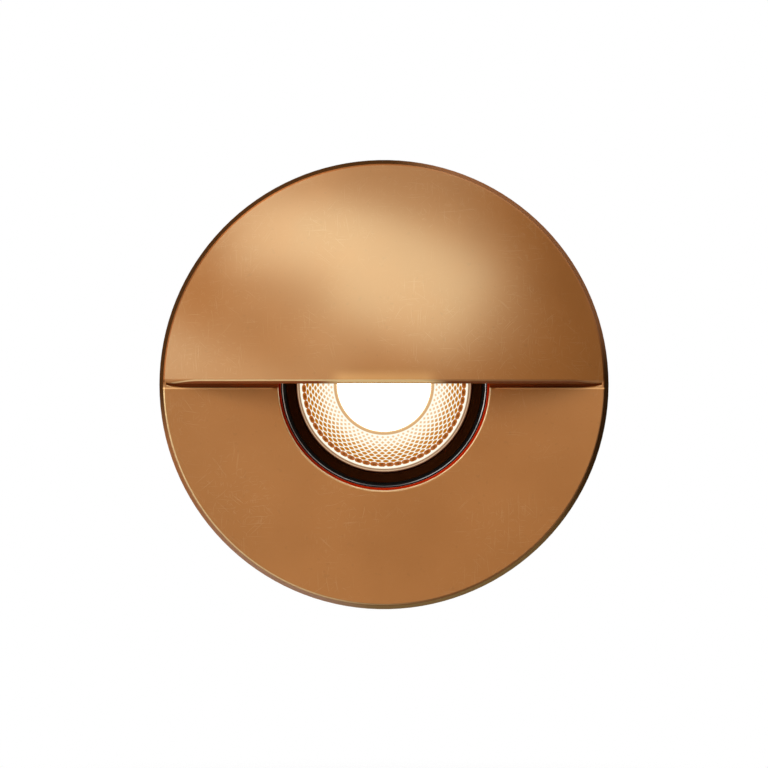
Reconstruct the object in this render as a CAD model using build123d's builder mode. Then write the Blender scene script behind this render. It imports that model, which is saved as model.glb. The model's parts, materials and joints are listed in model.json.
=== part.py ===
from build123d import *
import os
from math import sqrt

os.makedirs("parts", exist_ok=True)

# A recessed step light with an eyelid hood. The wall's surface is the plane Y = 0.
# The faceplate stands in front of it towards -Y, and the body runs back into the wall
# along +Y. Z is up. The Y axis is the centre line of the lamp. All sizes are in mm.

# ---------------------------------------------------------------- driving sizes

# Faceplate: one casting of plate, hood and spigot
face_d = 127.0           # outside diameter
plate_t = 5.0            # wall to front of plate
rim_in = 1.4             # the plate's side slopes in by this towards the front
rim_round = 0.6          # rounding of its front edge
back_chamfer = 0.5       # outer edge at the wall
pocket_depth = 2.0       # floor under the hood, below the front of the plate
seat_web = 1.5           # metal between that floor and the lens seat
aperture_margin = 4.7    # light opening beyond the lamp, all round
aperture_round = 0.45    # rounding of the opening and of the plate's top edge

# Hood: part of a hollow ball standing on the plate
hood_rise = 20.0         # height of the hood in front of the plate
hood_wall = 2.6          # metal thickness
lip_z = 0.3              # underside of the lip, above the centre line
lip_round = 1.25         # outer edge of the lip
slot_gap = 1.15          # lip to the top edge of the lower plate
slot_end_margin = 0.8    # slot ends inside the foot of the hood
slot_end_round = 30.0    # radius that closes the slot at both ends
slot_end_run = 7.3       # length over which it closes

# Spigot behind the plate, which slides in the housing
spigot_len = 24.0
spigot_wall = 2.8
spigot_fit = 0.05        # radial running clearance in the housing
spigot_lead = 0.6        # lead-in chamfer
ring_squash_w = 2.8      # width of a spigot O-ring as squeezed in place
ring_groove_depth = 1.6
ring_side_gap = 0.2
first_ring_y = 7.0
ring_pitch = 10.0
ring_corner = 0.7        # corner taken off a squeezed O-ring

# Relief and foam gasket in the back of the plate
relief_depth = 1.4
relief_in = 4.5          # relief starts outside the spigot by this
front_gap = 0.3          # back of the plate to the front end of the housing
rim_land = 6.0           # land left under the rim
gasket_side_gap = 0.3

# Lens stack behind the opening
lens_gasket_in = 0.3     # gasket stands into the opening by this
lens_gasket_t = 1.0
lens_lap = 1.7           # glass beyond the opening
lens_gap = 0.2           # glass to the bore
lens_t = 4.0
lens_bevel = 0.5
lens_seal_in = 0.5       # seal stands into the opening by this
lens_seal_t = 0.8
lens_ring_len = 5.5
lens_ring_in = 0.9       # lens ring stands into the opening by this
lens_ring_bevel = 0.2
lens_ring_cone = 0.95    # the front of the ring slopes in by this
lens_ring_cone_len = 1.3
thread_gap = 0.05        # lens ring in the spigot's thread
notch_w = 4.0            # two notches for a spanner
notch_d = 1.6
baffle_collar = 1.95     # collar of the baffle, seated in the back of the ring
baffle_seat_len = 2.2
baffle_wall = 1.0
baffle_lip = 0.15        # edge of the baffle at its front

# Lamp, a two-pin reflector lamp
lamp_r = 25.1
lamp_len = 44.5          # front of the bezel to the back of the base
lamp_entry_gap = 0.3     # lamp to the rear mouth of the baffle, all round
lamp_setback = 0.7       # rear mouth of the baffle to the front of the lamp
bezel_w = 1.0
bezel_len = 2.6
bezel_round = 0.3
optic_gap = 0.05
optic_edge_t = 1.5
optic_set_in = 0.9       # outer edge of the optic behind the front of the bezel
optic_dish = 1.7         # fall of the patterned front towards the middle
optic_well_r = 13.5      # well over the light source
optic_well_edge = 1.25   # rounded edge of the well
optic_well_depth = 3.0
optic_throat_r = 8.0
optic_bulge = 1.0        # curve of the optic's back
optic_len = 22.0
optic_pocket_gap = 1.5   # pocket round the light source
optic_pocket_depth = 4.0
diffuser_t = 0.8
led_r = 4.5
led_t = 0.9
board_r = 9.5
board_t = 1.2
heatsink_wall = 1.4
heatsink_neck_r = 11.5
heatsink_collar_len = 3.2
fin_count = 12
fin_t = 1.4
fin_shoulder_r = 22.5    # outline of the fins
fin_shoulder_y = 15.0    # behind the collar
fin_tail_r = 15.0
fin_root = 0.5           # fins sunk into the wall
base_w = 17.0
base_h = 10.5
base_len = 12.0
base_round = 2.0
pin_r = 0.775
pin_pitch = 5.33
pin_len = 7.0
pin_root = 4.0           # length of the pin held in the base
pin_tip = 0.3

# Lampholder, contacts and bracket
holder_w = 25.0
holder_h = 13.0
holder_len = 11.0
holder_round = 2.5
contact_r = 1.35
contact_fit = 0.08       # radial clearance of a pin in its contact
contact_len = 8.0
contact_mouth = 0.8      # ceramic in front of the contact
holder_screw_edge = 4.0  # lampholder screws in from its ends
screw_r = 1.5
screw_head_r = 2.75
screw_head_t = 2.0
screw_head_sink = 2.6    # screw heads below the front of the lampholder
hole_clearance = 0.2
bracket_t = 1.2
bracket_w = 14.0
bracket_depth = 22.0     # front of the web to the cap's bosses
bracket_leg_gap = 1.95   # legs to the heads of the screws in the feet
bracket_foot_end = 4.2   # feet beyond their screws
bracket_bend = 1.6       # inside bend radius
bracket_window_r = 5.5   # hole for the leads
foot_boss_gap = 2.6      # bosses to the cap's spigot
foot_boss_r = 3.6
foot_boss_h = 4.0
foot_screw_len = 6.0

# Housing
housing_wall = 2.05
bore_step = 3.5          # the bore narrows behind the spigot
bore_step_gap = 2.0      # spigot to that step
mouth_chamfer = 0.8
land_len = 30.0          # front of the housing, a close fit in the wall's hole
land_step = 1.1
land_lead = 0.6          # chamfer behind the land
grip_ring_t = 3.6        # rubber rings that grip the hole, as squeezed in it
grip_ring_proud = 0.2    # beyond the land
grip_ring_corner = 1.1
grip_ring_side_gap = 0.2
grip_ring_front = 10.0   # first ring behind the land
grip_ring_back = 18.0    # second ring in front of the rear end
cap_land = 8.0           # rear bore that takes the cap's spigot

# Rear cap
cap_t = 4.0
cap_edge = 0.5
cap_fit = 0.05
cap_spigot_wall = 3.6
cap_ring_w = 2.6
cap_ring_depth = 1.6
cap_screw_count = 3
cap_screw_r = 1.25
cap_screw_head_r = 2.25
cap_screw_len = 10.0

# Cable gland, M16
gland_thread_r = 8.0
gland_boss_wall = 4.0
gland_boss_h = 4.0
gland_hex_w = 20.0       # across flats
gland_washer_t = 1.0
gland_flange_t = 5.0
gland_bore_r = 5.2
gland_neck_len = 8.5
gland_nut_gap = 0.4
gland_nut_wall = 1.6
gland_nut_len = 14.0
gland_dome_len = 4.5
gland_mouth_r = 4.6
seal_r = 6.6
seal_hole_r = 3.3
seal_tip_r = 5.6
seal_len = 9.0
seal_depth = 6.0         # part of the seal inside the body

# Terminal block and leads
block_w = 20.0
block_h = 11.0
block_len = 15.0
block_round = 1.0
block_gap = 1.0          # above the gland's boss
block_screw_bite = 2.0   # length of its screw in the cap
pole_pitch = 11.0
pole_screw_r = 1.9
pole_screw_len = 6.0
pole_screw_sink = 1.2
supply_hole_r = 1.3
supply_hole_depth = 3.0
lead_r = 1.1
lead_pitch = 5.0
lead_y = 2.2             # leads enter the block behind its front by this
lead_end = 2.0           # length of a lead inside the block
lead_bend = 5.4
screw_slot_w = 0.7

# ---------------------------------------------------------------- places worked out

face_r = face_d / 2
hood_r = face_r - rim_in
front_y = -plate_t
floor_y = front_y + pocket_depth
ball_r = (hood_r**2 + hood_rise**2) / (2 * hood_rise)
ball_y = front_y - hood_rise + ball_r
hollow_r = ball_r - hood_wall
foot_outer_r = sqrt(ball_r**2 - (ball_y - floor_y) ** 2)
foot_inner_r = sqrt(hollow_r**2 - (ball_y - floor_y) ** 2)
seat_y = floor_y + seat_web
slot_r = hood_r - slot_end_margin
plate_edge_z = lip_z - slot_gap

aperture_r = lamp_r + aperture_margin
lens_r = aperture_r + lens_lap
lens_bore_r = lens_r + lens_gap
spigot_r = lens_bore_r + spigot_wall
glass_y = seat_y + lens_gasket_t
seal_y = glass_y + lens_t
ring_y = seal_y + lens_seal_t
ring_back_y = ring_y + lens_ring_len
lens_ring_throat_r = aperture_r - lens_ring_in
lens_ring_cone_r = lens_ring_throat_r - lens_ring_cone
baffle_y = ring_y + lens_ring_cone_len
baffle_collar_y = ring_back_y - baffle_seat_len
baffle_r = lens_ring_cone_r - thread_gap
baffle_seat_r = lens_ring_cone_r + baffle_collar
baffle_mouth_r = lamp_r + lamp_entry_gap
baffle_back_y = ring_back_y + baffle_wall

lamp_y = baffle_back_y + lamp_setback
bezel_back_y = lamp_y + bezel_len
optic_r = lamp_r - bezel_w - optic_gap
optic_y = lamp_y + optic_set_in
optic_inner_y = optic_y + optic_dish
well_floor_y = optic_inner_y + optic_well_depth
board_y = optic_y + optic_len
board_back_y = board_y + board_t
collar_y = bezel_back_y + heatsink_collar_len
base_back_y = lamp_y + lamp_len
base_y = base_back_y - base_len

holder_y = base_back_y
contact_y = holder_y + contact_mouth
holder_screw_y = holder_y + screw_head_sink
web_y = holder_y + holder_len
foot_y = web_y + bracket_depth

housing_bore_r = spigot_r + spigot_fit
housing_r = housing_bore_r + housing_wall
chamber_r = housing_bore_r - bore_step
step_y = spigot_len + bore_step_gap
housing_back_y = foot_y + foot_boss_h
land_r = housing_r + land_step
grip_groove_r = land_r + grip_ring_proud - grip_ring_t
grip_ring_ys = (land_len + grip_ring_front, housing_back_y - grip_ring_back)
spigot_groove_r = spigot_r - ring_groove_depth
spigot_ring_ys = (first_ring_y, first_ring_y + ring_pitch)

cap_spigot_y = housing_back_y - cap_land
cap_spigot_r = chamber_r - cap_fit
cap_bore_r = cap_spigot_r - cap_spigot_wall
foot_screw_x = cap_bore_r - foot_boss_gap - foot_boss_r
bracket_foot_x = foot_screw_x + bracket_foot_end
bracket_leg_x = foot_screw_x - screw_head_r - bracket_leg_gap
screw_pitch_w = holder_w - 2 * holder_screw_edge
cap_ring_y = housing_back_y - cap_land / 2
cap_back_y = housing_back_y + cap_t
cap_screw_pcr = (chamber_r + housing_r) / 2
gland_boss_r = gland_thread_r + gland_boss_wall
gland_washer_r = gland_hex_w / sqrt(3)
gland_boss_y = housing_back_y - gland_boss_h
gland_flange_y = cap_back_y + gland_washer_t
gland_neck_y = gland_flange_y + gland_flange_t
gland_neck_end_y = gland_neck_y + gland_neck_len
gland_nut_y = gland_neck_y + gland_nut_gap
gland_nut_end_y = gland_nut_y + gland_nut_len
seal_y_front = gland_neck_end_y - seal_depth
seal_y_back = seal_y_front + seal_len

block_z = gland_boss_r + block_gap
block_mid_z = block_z + block_h / 2
block_y = housing_back_y - block_len
lead_turn_y = block_y + lead_y


def depth(y):
    """Plane square to the centre line at this depth. Local X is X, local Y is Z."""
    return Plane.XZ.offset(-y)


def facing_back(y):
    """The same plane turned to face the back. Local X is Z, local Y is X."""
    return Plane.ZX.offset(y)


def turned(*points, mode=Mode.ADD):
    """Turn a closed outline of (radius, y) points about the centre line."""
    with BuildSketch(Plane.XY) as section:
        with BuildLine():
            Polyline(*points, close=True)
        make_face()
    revolve(section.sketch, axis=Axis.Y, mode=mode)


def turned_ring(inner_r, outer_r, middle_y, width, corner):
    """A rubber ring as it sits squeezed in its groove."""
    with BuildSketch(Plane.XY) as section:
        with Locations(((inner_r + outer_r) / 2, middle_y)):
            Rectangle(outer_r - inner_r, width)
        chamfer(section.vertices(), corner)
    revolve(section.sketch, axis=Axis.Y)


def bored(plane, radius, length, *points):
    """Blind round holes into the part at these points of the plane, away from its normal."""
    with BuildSketch(plane) as holes:
        with Locations(*points):
            Circle(radius)
    extrude(holes.sketch, amount=-length, mode=Mode.SUBTRACT)


def pan_screw(head_r, head_t, shank_r, length):
    """Slotted pan-head screw on the Z axis. It seats at Z = 0 and its shank runs down."""
    with BuildPart() as screw:
        with BuildSketch(Plane.XZ):
            with BuildLine():
                Polyline(
                    (0, head_t),
                    (head_r - head_t / 2, head_t),
                    (head_r, head_t / 2),
                    (head_r, 0),
                    (shank_r, 0),
                    (shank_r, -length + shank_r / 2),
                    (shank_r / 2, -length),
                    (0, -length),
                    close=True,
                )
            make_face()
        revolve(axis=Axis.Z)
        with BuildSketch(Plane.XY.offset(head_t)):
            Rectangle(2 * head_r, screw_slot_w)
        extrude(amount=-head_t / 2, mode=Mode.SUBTRACT)
    return screw.part


def finish(piece, name):
    """Name a finished piece and write its file."""
    piece.part.label = name
    export_step(piece.part, f"parts/{name}.step")


# ---------------------------------------------------------------- faceplate

# The hood is turned as part of a hollow ball, cut off along its lip, and trimmed round its
# foot to the sloping side of the plate.
with BuildPart() as hood:
    with BuildSketch(Plane.XY):
        with BuildLine():
            RadiusArc((0, ball_y - ball_r), (foot_outer_r, floor_y), -ball_r)
            Line((foot_outer_r, floor_y), (foot_inner_r, floor_y))
            RadiusArc((foot_inner_r, floor_y), (0, ball_y - hollow_r), hollow_r)
            Line((0, ball_y - hollow_r), (0, ball_y - ball_r))
        make_face()
    revolve(axis=Axis.Y)
    split(bisect_by=Plane.XY.offset(lip_z), keep=Keep.TOP)
    lip_edges = hood.faces().sort_by(Axis.Z)[0].edges()
    fillet(lip_edges.sort_by(Axis.Y)[0], lip_round)
    trim_len = hood_rise + plate_t
    trim_r = face_r - rim_in * trim_len / (plate_t - back_chamfer)
    turned(
        (0, -back_chamfer - trim_len),
        (trim_r, -back_chamfer - trim_len),
        (face_r, -back_chamfer),
        (0, -back_chamfer),
        mode=Mode.INTERSECT,
    )

with BuildPart() as faceplate:
    # Plate and spigot, turned in one.
    with BuildSketch(Plane.XY) as section:
        with BuildLine():
            Polyline(
                (aperture_r, front_y),
                (hood_r, front_y),
                (face_r, -back_chamfer),
                (face_r - back_chamfer, 0),
                (face_r - rim_land, 0),
                (face_r - rim_land, -relief_depth),
                (spigot_r + relief_in, -relief_depth),
                (spigot_r + relief_in, -front_gap),
                (spigot_r, -front_gap),
                (spigot_r, spigot_len - spigot_lead),
                (spigot_r - spigot_lead, spigot_len),
                (lens_bore_r, spigot_len),
                (lens_bore_r, seat_y),
                (aperture_r, seat_y),
                close=True,
            )
        make_face()
        front_corner = section.vertices().filter_by_position(Axis.X, hood_r - 0.01, hood_r + 0.01)
        fillet(front_corner, rim_round)
    revolve(axis=Axis.Y)
    # Grooves for the two O-rings.
    for ring_mid_y in spigot_ring_ys:
        with BuildSketch(Plane.XY):
            with Locations((spigot_r, ring_mid_y)):
                Rectangle(2 * ring_groove_depth, ring_squash_w + 2 * ring_side_gap)
        revolve(axis=Axis.Y, mode=Mode.SUBTRACT)
    # Sunk floor under the hood. Its lower edge curves up to close the slot at both ends.
    with BuildSketch(depth(front_y)):
        Circle(slot_r)
        with BuildLine():
            straight = slot_r - slot_end_run
            end_x = slot_r + slot_end_margin
            end_z = plate_edge_z + slot_end_round - sqrt(slot_end_round**2 - (end_x - straight) ** 2)
            Line((-straight, plate_edge_z), (straight, plate_edge_z))
            RadiusArc((straight, plate_edge_z), (end_x, end_z), -slot_end_round)
            Polyline((end_x, end_z), (end_x, -end_x), (-end_x, -end_x), (-end_x, end_z))
            RadiusArc((-end_x, end_z), (-straight, plate_edge_z), -slot_end_round)
        make_face(mode=Mode.SUBTRACT)
    extrude(amount=-pocket_depth, mode=Mode.SUBTRACT)
    # Round the plate's top edge and the opening below it, in one run from corner to corner.
    front_edges = faceplate.edges().filter_by_position(Axis.Y, front_y - 0.01, front_y + 0.01)
    low_edges = [e for e in front_edges if e.center().Z < lip_z and e.length < 2 * face_d]
    fillet(low_edges, aperture_round)
    add(hood.part)
finish(faceplate, "faceplate")

with BuildPart() as wall_gasket:
    turned(
        (spigot_r + relief_in + gasket_side_gap, -relief_depth),
        (face_r - rim_land - gasket_side_gap, -relief_depth),
        (face_r - rim_land - gasket_side_gap, 0),
        (spigot_r + relief_in + gasket_side_gap, 0),
    )
finish(wall_gasket, "wall_gasket")

# The two O-rings of the spigot clear its grooves and the housing by the running clearance.
with BuildPart() as spigot_rings:
    for ring_mid_y in spigot_ring_ys:
        turned_ring(spigot_groove_r + spigot_fit, housing_bore_r - spigot_fit, ring_mid_y,
                    ring_squash_w, ring_corner)
finish(spigot_rings, "spigot_rings")

# ---------------------------------------------------------------- lens stack

with BuildPart() as lens_gasket:
    turned(
        (aperture_r - lens_gasket_in, seat_y),
        (lens_r, seat_y),
        (lens_r, glass_y),
        (aperture_r - lens_gasket_in, glass_y),
    )
finish(lens_gasket, "lens_gasket")

with BuildPart() as lens_glass:
    with BuildSketch(depth(glass_y)):
        Circle(lens_r)
    extrude(amount=-lens_t)
    chamfer(lens_glass.edges().filter_by(GeomType.CIRCLE), lens_bevel)
finish(lens_glass, "lens_glass")

with BuildPart() as lens_seal:
    turned(
        (aperture_r - lens_seal_in, seal_y),
        (lens_r, seal_y),
        (lens_r, ring_y),
        (aperture_r - lens_seal_in, ring_y),
    )
finish(lens_seal, "lens_seal")

with BuildPart() as lens_ring:
    turned(
        (lens_ring_throat_r + lens_ring_bevel, ring_y),
        (lens_bore_r - thread_gap, ring_y),
        (lens_bore_r - thread_gap, ring_back_y),
        (baffle_seat_r, ring_back_y),
        (baffle_seat_r, baffle_collar_y),
        (lens_ring_cone_r, baffle_collar_y),
        (lens_ring_cone_r, baffle_y),
        (lens_ring_throat_r, ring_y + lens_ring_bevel),
    )
    with BuildSketch(depth(ring_back_y)):
        Rectangle(2 * lens_bore_r, notch_w)
        Circle(baffle_seat_r, mode=Mode.SUBTRACT)
    extrude(amount=notch_d, mode=Mode.SUBTRACT)
finish(lens_ring, "lens_ring")

with BuildPart() as glare_baffle:
    turned(
        (baffle_r - baffle_lip, baffle_y),
        (baffle_r, baffle_y),
        (baffle_r, baffle_collar_y),
        (baffle_seat_r - thread_gap, baffle_collar_y),
        (baffle_seat_r - thread_gap, ring_back_y),
        (baffle_r, ring_back_y),
        (baffle_mouth_r + baffle_wall, baffle_back_y),
        (baffle_mouth_r, baffle_back_y),
    )
finish(glare_baffle, "glare_baffle")

# ---------------------------------------------------------------- housing and its rings

with BuildPart() as housing:
    turned(
        (housing_bore_r + mouth_chamfer, 0),
        (land_r, 0),
        (land_r, land_len - land_lead),
        (housing_r, land_len - land_lead + land_step),
        (housing_r, housing_back_y),
        (chamber_r, housing_back_y),
        (chamber_r, step_y + bore_step),
        (housing_bore_r, step_y),
        (housing_bore_r, mouth_chamfer),
    )
    for ring_mid_y in grip_ring_ys:
        with BuildSketch(Plane.XY):
            with Locations((housing_r, ring_mid_y)):
                Rectangle(2 * (housing_r - grip_groove_r), grip_ring_t + 2 * grip_ring_side_gap)
        revolve(axis=Axis.Y, mode=Mode.SUBTRACT)
    with BuildSketch(facing_back(housing_back_y)):
        with PolarLocations(cap_screw_pcr, cap_screw_count):
            Circle(cap_screw_r)
    extrude(amount=-cap_screw_len, mode=Mode.SUBTRACT)
finish(housing, "housing")

with BuildPart() as hole_rings:
    for ring_mid_y in grip_ring_ys:
        turned_ring(grip_groove_r, grip_groove_r + grip_ring_t, ring_mid_y, grip_ring_t, grip_ring_corner)
finish(hole_rings, "hole_rings")

# ---------------------------------------------------------------- rear cap

with BuildPart() as rear_cap:
    turned(
        (0, housing_back_y),
        (cap_bore_r, housing_back_y),
        (cap_bore_r, cap_spigot_y),
        (cap_spigot_r, cap_spigot_y),
        (cap_spigot_r, housing_back_y),
        (housing_r, housing_back_y),
        (housing_r, cap_back_y - cap_edge),
        (housing_r - cap_edge, cap_back_y),
        (0, cap_back_y),
    )
    # Groove for the O-ring.
    with BuildSketch(Plane.XY):
        with Locations((cap_spigot_r, cap_ring_y)):
            Rectangle(2 * cap_ring_depth, cap_ring_w + 2 * ring_side_gap)
    revolve(axis=Axis.Y, mode=Mode.SUBTRACT)
    # Bosses for the gland and for the feet of the bracket.
    with BuildSketch(depth(gland_boss_y)):
        Circle(gland_boss_r)
    extrude(amount=-gland_boss_h)
    with BuildSketch(depth(foot_y)):
        with GridLocations(2 * foot_screw_x, 1, 2, 1):
            Circle(foot_boss_r)
    extrude(amount=-foot_boss_h)
    # Holes for the gland, the bracket's screws, the terminal block's screw and the cap's screws.
    bored(depth(gland_boss_y), gland_thread_r, gland_boss_h + cap_t, (0, 0))
    bored(depth(foot_y), screw_r, foot_screw_len - bracket_t, (-foot_screw_x, 0), (foot_screw_x, 0))
    bored(depth(housing_back_y), screw_r, block_screw_bite, (0, block_mid_z))
    with BuildSketch(facing_back(cap_back_y)):
        with PolarLocations(cap_screw_pcr, cap_screw_count):
            Circle(cap_screw_r + hole_clearance)
    extrude(amount=-cap_t, mode=Mode.SUBTRACT)
finish(rear_cap, "rear_cap")

with BuildPart() as cap_ring:
    turned_ring(cap_spigot_r - cap_ring_depth, chamber_r, cap_ring_y, cap_ring_w, ring_corner)
finish(cap_ring, "cap_ring")

cap_screw = pan_screw(cap_screw_head_r, screw_head_t, cap_screw_r, cap_screw_len)
with BuildPart(facing_back(cap_back_y)) as cap_screws:
    with PolarLocations(cap_screw_pcr, cap_screw_count):
        add(cap_screw)
finish(cap_screws, "cap_screws")

# ---------------------------------------------------------------- cable gland

with BuildPart() as gland_body:
    turned(
        (gland_bore_r, gland_boss_y),
        (gland_thread_r, gland_boss_y),
        (gland_thread_r, gland_neck_end_y),
        (seal_r, gland_neck_end_y),
        (seal_r, seal_y_front),
        (gland_bore_r, seal_y_front),
    )
    with BuildSketch(facing_back(gland_flange_y)):
        RegularPolygon(gland_hex_w / 2, 6, major_radius=False)
        Circle(gland_thread_r, mode=Mode.SUBTRACT)
    extrude(amount=gland_flange_t)
finish(gland_body, "gland_body")

with BuildPart() as gland_washer:
    turned(
        (gland_thread_r, cap_back_y),
        (gland_washer_r, cap_back_y),
        (gland_washer_r, gland_flange_y),
        (gland_thread_r, gland_flange_y),
    )
finish(gland_washer, "gland_washer")

with BuildPart() as gland_seal:
    turned(
        (seal_hole_r, seal_y_front),
        (seal_r, seal_y_front),
        (seal_r, gland_neck_end_y),
        (seal_tip_r, seal_y_back),
        (seal_hole_r, seal_y_back),
    )
finish(gland_seal, "gland_seal")

with BuildPart() as gland_nut:
    with BuildSketch(facing_back(gland_nut_y)):
        RegularPolygon(gland_hex_w / 2, 6, major_radius=False)
    extrude(amount=gland_nut_len)
    # Domed end.
    turned(
        (gland_hex_w, gland_nut_end_y - gland_dome_len),
        (gland_hex_w / 2, gland_nut_end_y - gland_dome_len),
        (seal_tip_r + gland_nut_wall, gland_nut_end_y),
        (gland_hex_w, gland_nut_end_y),
        mode=Mode.SUBTRACT,
    )
    # Thread, cone over the seal and mouth.
    turned(
        (0, gland_nut_y),
        (gland_thread_r, gland_nut_y),
        (gland_thread_r, gland_neck_end_y + gland_nut_gap),
        (seal_r, gland_neck_end_y + gland_nut_gap),
        (seal_tip_r, seal_y_back),
        (seal_tip_r, seal_y_back + gland_nut_gap),
        (gland_mouth_r, seal_y_back + gland_nut_gap),
        (gland_mouth_r, gland_nut_end_y),
        (0, gland_nut_end_y),
        mode=Mode.SUBTRACT,
    )
finish(gland_nut, "gland_nut")

# ---------------------------------------------------------------- lampholder and bracket

half_pitch = pin_pitch / 2
half_screws = screw_pitch_w / 2
with BuildPart() as lampholder:
    with BuildSketch(depth(holder_y)):
        RectangleRounded(holder_w, holder_h, holder_round)
    extrude(amount=-holder_len)
    bored(depth(holder_y), pin_r + 2 * contact_fit, contact_mouth, (-half_pitch, 0), (half_pitch, 0))
    bored(depth(contact_y), contact_r, contact_len, (-half_pitch, 0), (half_pitch, 0))
    bored(depth(holder_y), screw_head_r + hole_clearance, screw_head_sink,
          (-half_screws, 0), (half_screws, 0))
    bored(depth(holder_y), screw_r + hole_clearance, holder_len, (-half_screws, 0), (half_screws, 0))
finish(lampholder, "lampholder")

with BuildPart() as contact_sleeves:
    with BuildSketch(depth(contact_y)):
        with GridLocations(pin_pitch, 1, 2, 1):
            Circle(contact_r)
            Circle(pin_r + contact_fit, mode=Mode.SUBTRACT)
    extrude(amount=-contact_len)
finish(contact_sleeves, "contact_sleeves")

# Bent strip: feet on the cap's bosses, two legs, and a web that carries the lampholder.
with BuildPart() as holder_bracket:
    leg_x = bracket_leg_x - bracket_t / 2
    foot_mid_y = foot_y - bracket_t / 2
    web_mid_y = web_y + bracket_t / 2
    with BuildSketch(Plane.XY):
        with BuildLine():
            FilletPolyline(
                (-bracket_foot_x, foot_mid_y),
                (-leg_x, foot_mid_y),
                (-leg_x, web_mid_y),
                (leg_x, web_mid_y),
                (leg_x, foot_mid_y),
                (bracket_foot_x, foot_mid_y),
                radius=bracket_bend + bracket_t / 2,
            )
        trace(line_width=bracket_t)
    extrude(amount=bracket_w / 2, both=True)
    bored(depth(web_y), bracket_window_r, bracket_t, (0, 0))
    bored(depth(web_y), screw_r, bracket_t, (-half_screws, 0), (half_screws, 0))
    bored(depth(foot_y - bracket_t), screw_r + hole_clearance, bracket_t,
          (-foot_screw_x, 0), (foot_screw_x, 0))
finish(holder_bracket, "holder_bracket")

holder_screw_len = web_y + bracket_t + screw_r - holder_screw_y
holder_screw = pan_screw(screw_head_r, screw_head_t, screw_r, holder_screw_len)
with BuildPart(depth(holder_screw_y)) as holder_screws:
    with GridLocations(screw_pitch_w, 1, 2, 1):
        add(holder_screw)
finish(holder_screws, "holder_screws")

bracket_screw = pan_screw(screw_head_r, screw_head_t, screw_r, foot_screw_len)
with BuildPart(depth(foot_y - bracket_t)) as bracket_screws:
    with GridLocations(2 * foot_screw_x, 1, 2, 1):
        add(bracket_screw)
finish(bracket_screws, "bracket_screws")

# ---------------------------------------------------------------- terminals and leads

half_poles = pole_pitch / 2
half_leads = lead_pitch / 2
with BuildPart() as terminal_block:
    with BuildSketch(depth(block_y)):
        with Locations((0, block_mid_z)):
            RectangleRounded(block_w, block_h, block_round)
    extrude(amount=-block_len)
    poles = ((-half_poles, block_mid_z), (half_poles, block_mid_z))
    bored(depth(block_y), pole_screw_r + hole_clearance, pole_screw_sink, *poles)
    bored(depth(block_y), screw_r, pole_screw_sink + pole_screw_len, *poles)
    bored(depth(block_y), screw_r + hole_clearance, block_len, (0, block_mid_z))
    # Leads come in below, the supply's cores from above.
    bored(Plane.YX.offset(-block_z), lead_r, lead_end,
          (lead_turn_y, -half_leads), (lead_turn_y, half_leads))
    bored(Plane.XY.offset(block_z + block_h), supply_hole_r, supply_hole_depth,
          (-half_poles, lead_turn_y), (half_poles, lead_turn_y))
finish(terminal_block, "terminal_block")

pole_screw = pan_screw(pole_screw_r, pole_screw_sink, screw_r, pole_screw_len)
with BuildPart(depth(block_y + pole_screw_sink)) as terminal_screws:
    with Locations(*poles):
        add(pole_screw)
finish(terminal_screws, "terminal_screws")

fixing_screw = pan_screw(screw_head_r, screw_head_t, screw_r, block_len + block_screw_bite)
with BuildPart(depth(block_y)) as block_screw:
    with Locations((0, block_mid_z)):
        add(fixing_screw)
finish(block_screw, "block_screw")

with BuildPart() as lamp_leads:
    for lead_x in (-half_leads, half_leads):
        with BuildLine():
            FilletPolyline(
                (lead_x, web_y, 0),
                (lead_x, lead_turn_y, 0),
                (lead_x, lead_turn_y, block_z + lead_end),
                radius=lead_bend,
            )
        with BuildSketch(depth(web_y)):
            with Locations((lead_x, 0)):
                Circle(lead_r)
        sweep()
finish(lamp_leads, "lamp_leads")

# ---------------------------------------------------------------- lamp

with BuildPart() as lamp_bezel:
    turned(
        (lamp_r - bezel_w, lamp_y + bezel_round),
        (lamp_r - bezel_w + bezel_round, lamp_y),
        (lamp_r - bezel_round, lamp_y),
        (lamp_r, lamp_y + bezel_round),
        (lamp_r, bezel_back_y),
        (lamp_r - bezel_w, bezel_back_y),
    )
finish(lamp_bezel, "lamp_bezel")

with BuildPart() as lamp_optic:
    pocket_r = led_r + optic_pocket_gap
    with BuildSketch(Plane.XY):
        with BuildLine():
            Polyline(
                (optic_throat_r, board_y),
                (pocket_r, board_y),
                (pocket_r, board_y - optic_pocket_depth),
                (0, board_y - optic_pocket_depth),
                (0, well_floor_y),
                (optic_well_r, well_floor_y),
                (optic_well_r, optic_inner_y + optic_well_edge),
            )
            RadiusArc((optic_well_r, optic_inner_y + optic_well_edge),
                      (optic_well_r + optic_well_edge, optic_inner_y), optic_well_edge)
            Polyline(
                (optic_well_r + optic_well_edge, optic_inner_y),
                (optic_r, optic_y),
                (optic_r, optic_y + optic_edge_t),
            )
            SagittaArc((optic_r, optic_y + optic_edge_t), (optic_throat_r, board_y), optic_bulge)
        make_face()
    revolve(axis=Axis.Y)
finish(lamp_optic, "lamp_optic")

with BuildPart() as lamp_diffuser:
    with BuildSketch(depth(well_floor_y - diffuser_t)):
        Circle(optic_well_r - optic_gap)
    extrude(amount=-diffuser_t)
finish(lamp_diffuser, "lamp_diffuser")

with BuildPart() as lamp_led:
    with BuildSketch(depth(board_y - led_t)):
        Circle(led_r)
    extrude(amount=-led_t)
finish(lamp_led, "lamp_led")

with BuildPart() as lamp_led_board:
    with BuildSketch(depth(board_y)):
        Circle(board_r)
    extrude(amount=-board_t)
finish(lamp_led_board, "lamp_led_board")

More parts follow.
